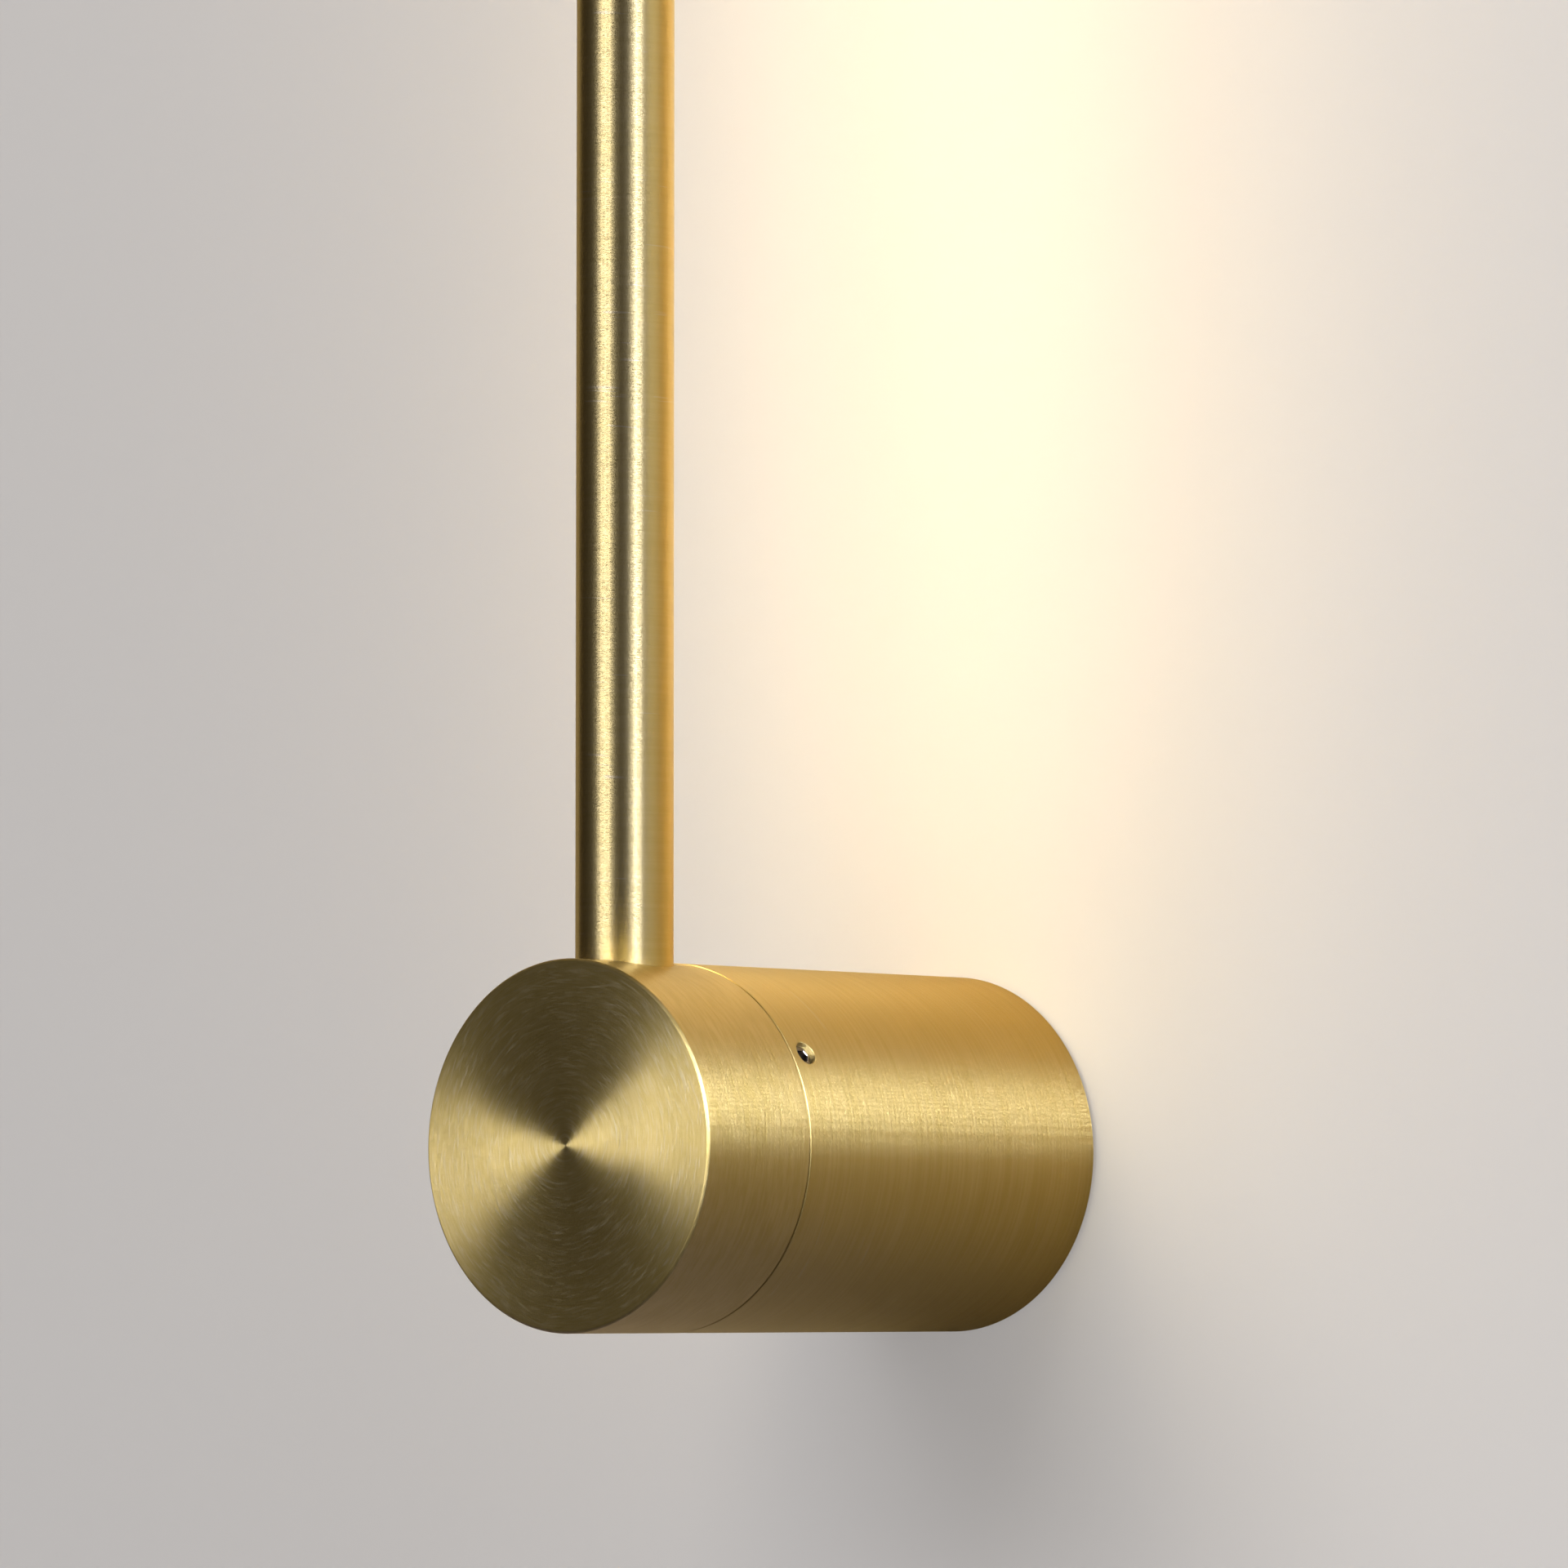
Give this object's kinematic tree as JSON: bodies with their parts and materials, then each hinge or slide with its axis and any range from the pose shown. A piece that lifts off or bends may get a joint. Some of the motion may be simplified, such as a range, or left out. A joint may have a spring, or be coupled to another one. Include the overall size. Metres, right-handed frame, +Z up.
{
  "type": "tube wall light",
  "caption": "Wall light in brushed brass: a round barrel holds a turning puck that carries an upright light tube, lit towards the wall through an opal strip.",
  "frame": {"origin": "middle of the wall-screw pattern on the back plate's outer face, on the barrel's axis and in the wall plane", "axes": "+Y into the wall along the barrel's axis, +Z up along the light tube, +X to the right of someone who faces the wall"},
  "size_m": [0.06, 0.1, 0.6],
  "materials": {
    "brushed_brass": "satin brushed and lacquered, grooves run round each piece",
    "plain_brass": "plain machined",
    "zinc_steel": "bright zinc plating",
    "dark_steel": "black oxide",
    "aluminium": "plain machined or extruded",
    "opal_cover": "opal, lit from inside",
    "white_strip": "white solder mask",
    "led_phosphor": "yellow phosphor",
    "connector_black": "moulded",
    "black_rubber": "soft moulded",
    "driver_plastic": "fine spark texture",
    "circuit_board": "green solder mask",
    "component_dark": "sleeved and moulded components",
    "terminal_plastic": "natural nylon",
    "red_insulation": "insulated wire",
    "black_insulation": "insulated wire",
    "brown_insulation": "insulated wire",
    "blue_insulation": "insulated wire",
    "green_insulation": "green and yellow insulated wire"
  },
  "bodies": {
    "barrel": {"barrel": "brushed_brass", "lock_screws": "dark_steel", "stop_pin": "zinc_steel", "lead_socket": "connector_black", "back_plate": "zinc_steel", "plate_posts": "zinc_steel", "barrel_screws": "dark_steel", "cable_grommet": "black_rubber", "driver_bracket": "zinc_steel", "bracket_screws": "zinc_steel", "driver_case": "driver_plastic", "driver_lid": "driver_plastic", "driver_board": "circuit_board", "board_parts": "component_dark", "driver_screws": "zinc_steel", "terminal_block": "terminal_plastic", "terminal_screws": "plain_brass", "block_screws": "zinc_steel", "earth_tag": "plain_brass", "earth_screw": "plain_brass", "live_lead": "brown_insulation", "neutral_lead": "blue_insulation", "earth_lead": "green_insulation", "driver_lead_plus": "red_insulation", "driver_lead_minus": "black_insulation"},
    "head": {"head_puck": "brushed_brass", "spigot_ring": "aluminium", "spigot_screws": "zinc_steel", "light_tube": "brushed_brass", "tube_foot": "plain_brass", "tube_screw": "zinc_steel", "tube_set_screw": "dark_steel", "tube_cap": "brushed_brass", "led_carrier": "aluminium", "led_strip": "white_strip", "led_chips": "led_phosphor", "diffuser": "opal_cover", "lead_plug": "connector_black", "head_lead_plus": "red_insulation", "head_lead_minus": "black_insulation"}
  },
  "joints": [
    {"name": "head_turn", "type": "hinge", "parent": "barrel", "child": "head", "pos_m": [0, -0.069, 0], "axis": [0, 1, 0], "range_deg": [-170, 170]}
  ]
}
